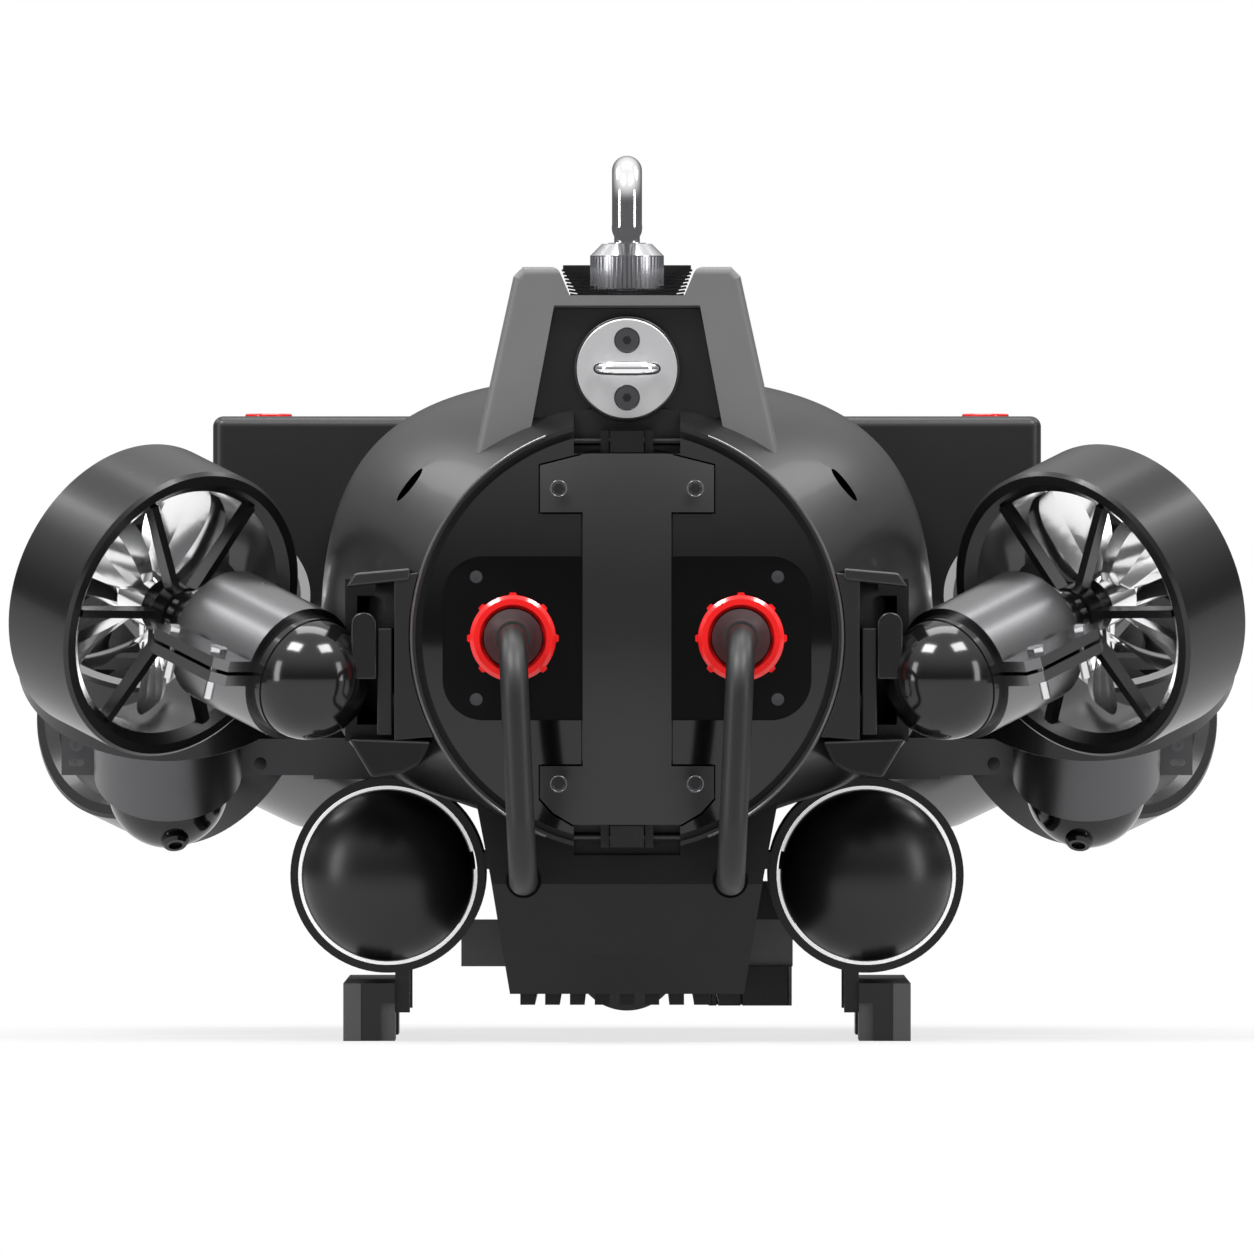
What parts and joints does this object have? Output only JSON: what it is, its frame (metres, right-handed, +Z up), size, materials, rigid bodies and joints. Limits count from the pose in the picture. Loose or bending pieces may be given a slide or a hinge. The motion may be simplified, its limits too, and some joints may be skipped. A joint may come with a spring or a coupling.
{
  "type": "underwater inspection vehicle",
  "caption": "Underwater inspection vehicle: rounded hull with tower and lifting shackle, ducted thrusters, lamp tubes in ring clamps, side battery pods, keel and skids.",
  "frame": {"origin": "middle of the base of the bounding box, at the foot of the skids", "axes": "+Z up, -Y towards the stern with the leads, +Y towards the glass bow dome, +X to starboard"},
  "size_m": [0.5192, 0.5572, 0.3717],
  "materials": {
    "anchor_alu": "fine brushed plate",
    "battery_black": "matte black case",
    "beam_alu": "dark anodised strip",
    "bracket_black": "black bracket",
    "bright_steel": "mirror polished steel",
    "cap_gloss": "glossy black moulding",
    "chassis_alu": "bare plate",
    "clamp_alu": "satin grey anodised clamp",
    "collar_red": "bright red moulding",
    "duct_black": "satin black moulding",
    "grille_black": "black louvre",
    "hull_plastic": "satin dark grey moulding",
    "lamp_black": "gloss black tube",
    "lead_rubber": "dark grey rubber jacket",
    "lens_glass": "clear lens",
    "plug_rubber": "black moulded strain relief",
    "pod_gloss": "gloss black shell",
    "ring_steel": "polished knurled steel",
    "screw_steel": "dark socket screws",
    "seal_rubber": "black rubber ring",
    "skid_black": "dark skid",
    "strap_satin": "satin dark grey cover",
    "tower_plastic": "satin grey moulding",
    "weight_lead": "grey cast weight"
  },
  "bodies": {
    "vehicle": {"anchor_staple": "bright_steel", "ballast_weights": "weight_lead", "battery_pod_port": "battery_black", "battery_pod_starboard": "battery_black", "clamp_bolts": "bright_steel", "connector_plugs": "plug_rubber", "cover_strap": "strap_satin", "dome_bezel": "cap_gloss", "duct_fore_port": "duct_black", "duct_fore_starboard": "duct_black", "duct_lift_port": "duct_black", "duct_lift_starboard": "duct_black", "duct_rear_port": "duct_black", "duct_rear_starboard": "duct_black", "electronics_chassis": "chassis_alu", "front_dome": "lens_glass", "hull_shell": "hull_plastic", "keel": "hull_plastic", "keel_camera": "pod_gloss", "lamp_lenses": "lens_glass", "lamp_port": "lamp_black", "lamp_rings": "bracket_black", "lamp_starboard": "lamp_black", "latch_pins": "bracket_black", "leads": "lead_rubber", "lift_stud": "ring_steel", "motor_pod_fore_port": "pod_gloss", "motor_pod_fore_starboard": "pod_gloss", "motor_pod_lift_port": "pod_gloss", "motor_pod_lift_starboard": "pod_gloss", "motor_pod_rear_port": "pod_gloss", "motor_pod_rear_starboard": "pod_gloss", "rear_cap": "cap_gloss", "rear_seal": "seal_rubber", "side_beam_port": "beam_alu", "side_beam_starboard": "beam_alu", "skids": "skid_black", "socket_screws": "screw_steel", "sonar_head": "bracket_black", "tether_anchor": "anchor_alu", "thruster_brackets": "bracket_black", "thruster_clamps": "clamp_alu", "tool_bar": "clamp_alu", "tower": "tower_plastic", "tower_grille": "grille_black"},
    "propeller_rear_port": {"propeller_rear_port": "bright_steel"},
    "propeller_rear_starboard": {"propeller_rear_starboard": "bright_steel"},
    "propeller_lift_port": {"propeller_lift_port": "bright_steel"},
    "propeller_lift_starboard": {"propeller_lift_starboard": "bright_steel"},
    "propeller_fore_port": {"propeller_fore_port": "bright_steel"},
    "propeller_fore_starboard": {"propeller_fore_starboard": "bright_steel"},
    "collar_port": {"lock_collar_port": "collar_red"},
    "collar_starboard": {"lock_collar_starboard": "collar_red"},
    "latch_top": {"latch_lever_top": "bracket_black"},
    "latch_bottom": {"latch_lever_bottom": "bracket_black"},
    "swivel_ring": {"knurled_ring": "ring_steel"},
    "lifting_shackle": {"shackle": "bright_steel"},
    "camera": {"tilt_camera": "pod_gloss"},
    "vent_port": {"vent_plug_port": "collar_red"},
    "vent_starboard": {"vent_plug_starboard": "collar_red"}
  },
  "joints": [
    {"name": "spin_rear_port", "type": "hinge", "parent": "vehicle", "child": "propeller_rear_port", "pos_m": [-0.20169, -0.12849, 0.18646], "axis": [0.6331, -0.7071, -0.315], "continuous": true},
    {"name": "spin_rear_starboard", "type": "hinge", "parent": "vehicle", "child": "propeller_rear_starboard", "pos_m": [0.20169, -0.12849, 0.18646], "axis": [-0.6331, -0.7071, -0.315], "continuous": true},
    {"name": "spin_lift_port", "type": "hinge", "parent": "vehicle", "child": "propeller_lift_port", "pos_m": [-0.196, -0.0069, 0.17488], "axis": [0, 0.6429, -0.7659], "continuous": true},
    {"name": "spin_lift_starboard", "type": "hinge", "parent": "vehicle", "child": "propeller_lift_starboard", "pos_m": [0.196, -0.0069, 0.17488], "axis": [0, 0.6429, -0.7659], "continuous": true},
    {"name": "spin_fore_port", "type": "hinge", "parent": "vehicle", "child": "propeller_fore_port", "pos_m": [-0.19719, 0.17656, 0.14656], "axis": [0.6331, 0.7071, -0.315], "continuous": true},
    {"name": "spin_fore_starboard", "type": "hinge", "parent": "vehicle", "child": "propeller_fore_starboard", "pos_m": [0.19719, 0.17656, 0.14656], "axis": [-0.6331, 0.7071, -0.315], "continuous": true},
    {"name": "turn_collar_port", "type": "hinge", "parent": "vehicle", "child": "collar_port", "pos_m": [-0.0476, -0.22667, 0.1692], "axis": [0, -1, 0], "range_deg": [0, 90]},
    {"name": "turn_collar_starboard", "type": "hinge", "parent": "vehicle", "child": "collar_starboard", "pos_m": [0.0476, -0.22667, 0.1692], "axis": [0, -1, 0], "range_deg": [0, 90]},
    {"name": "lift_latch_top", "type": "hinge", "parent": "vehicle", "child": "latch_top", "pos_m": [0, -0.20907, 0.2513], "axis": [-1, 0, 0], "range_deg": [0, 70]},
    {"name": "drop_latch_bottom", "type": "hinge", "parent": "vehicle", "child": "latch_bottom", "pos_m": [0, -0.20907, 0.0864], "axis": [1, 0, 0], "range_deg": [0, 60]},
    {"name": "turn_swivel_ring", "type": "hinge", "parent": "vehicle", "child": "swivel_ring", "pos_m": [0, -0.15746, 0.3244], "axis": [0, 0, 1], "continuous": true},
    {"name": "swing_shackle", "type": "hinge", "parent": "vehicle", "child": "lifting_shackle", "pos_m": [0, -0.15746, 0.3415], "axis": [0, 1, 0], "range_deg": [-85, 85]},
    {"name": "tilt_camera_head", "type": "hinge", "parent": "vehicle", "child": "camera", "pos_m": [0, 0.22554, 0.17], "axis": [1, 0, 0], "range_deg": [-45, 45]},
    {"name": "turn_vent_port", "type": "hinge", "parent": "vehicle", "child": "vent_port", "pos_m": [-0.1536, 0.09653, 0.264], "axis": [0, 0, 1], "range_deg": [0, 90]},
    {"name": "turn_vent_starboard", "type": "hinge", "parent": "vehicle", "child": "vent_starboard", "pos_m": [0.1536, 0.09653, 0.264], "axis": [0, 0, 1], "range_deg": [0, 90]}
  ]
}
